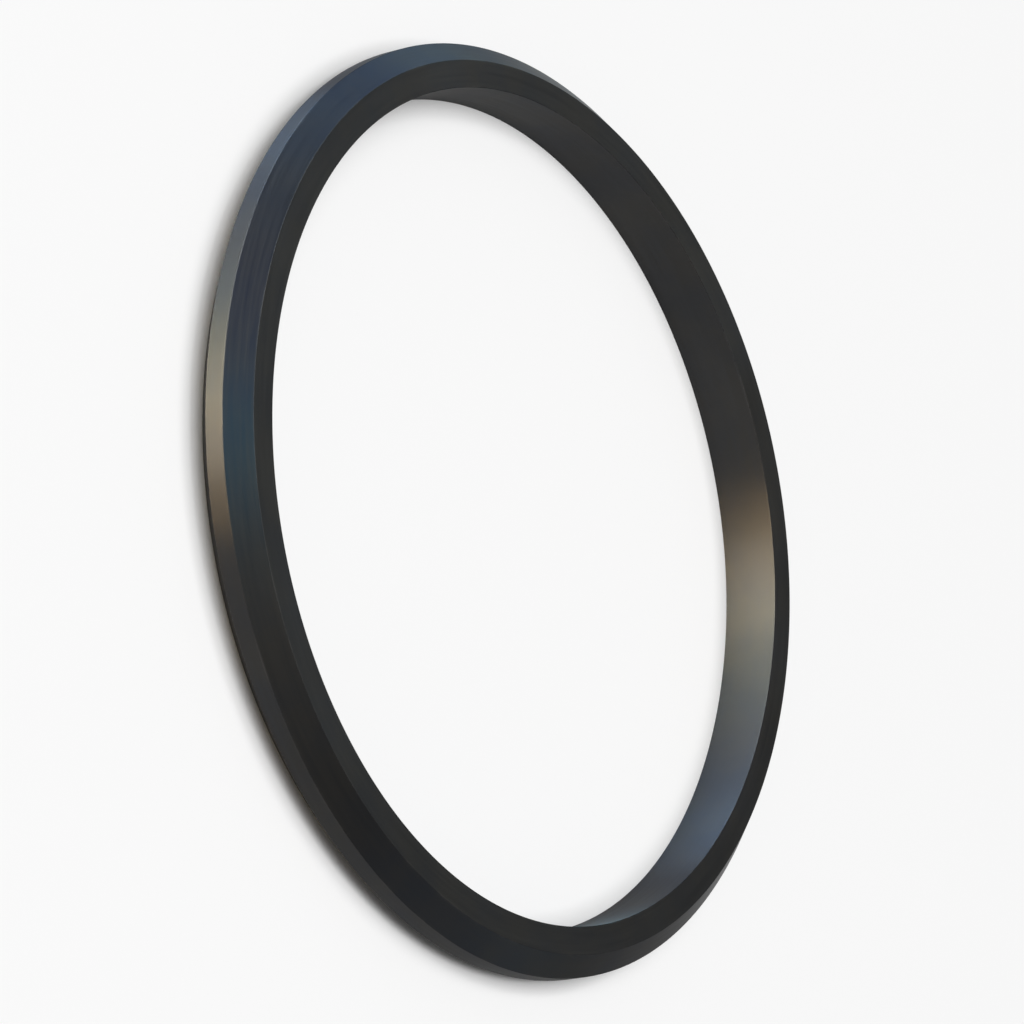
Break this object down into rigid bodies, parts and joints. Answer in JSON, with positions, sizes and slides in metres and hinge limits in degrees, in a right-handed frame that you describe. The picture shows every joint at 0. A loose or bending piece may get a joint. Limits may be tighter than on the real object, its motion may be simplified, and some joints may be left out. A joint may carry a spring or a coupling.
{
  "type": "seal ring",
  "caption": "Seal ring for a round joint: a closed turned ring with a plain bore, flat side faces and a narrow outer land between equal chamfers.",
  "frame": {"origin": "centre of the lower side face, on the axis of the ring", "axes": "+Z along the axis of the ring, from the face it lies on to the other one; X and Y are any two radii at right angles"},
  "size_m": [0.067, 0.067, 0.0044],
  "materials": {
    "black_oxide": "satin"
  },
  "bodies": {
    "root": {"seal_ring": "black_oxide"}
  },
  "joints": []
}
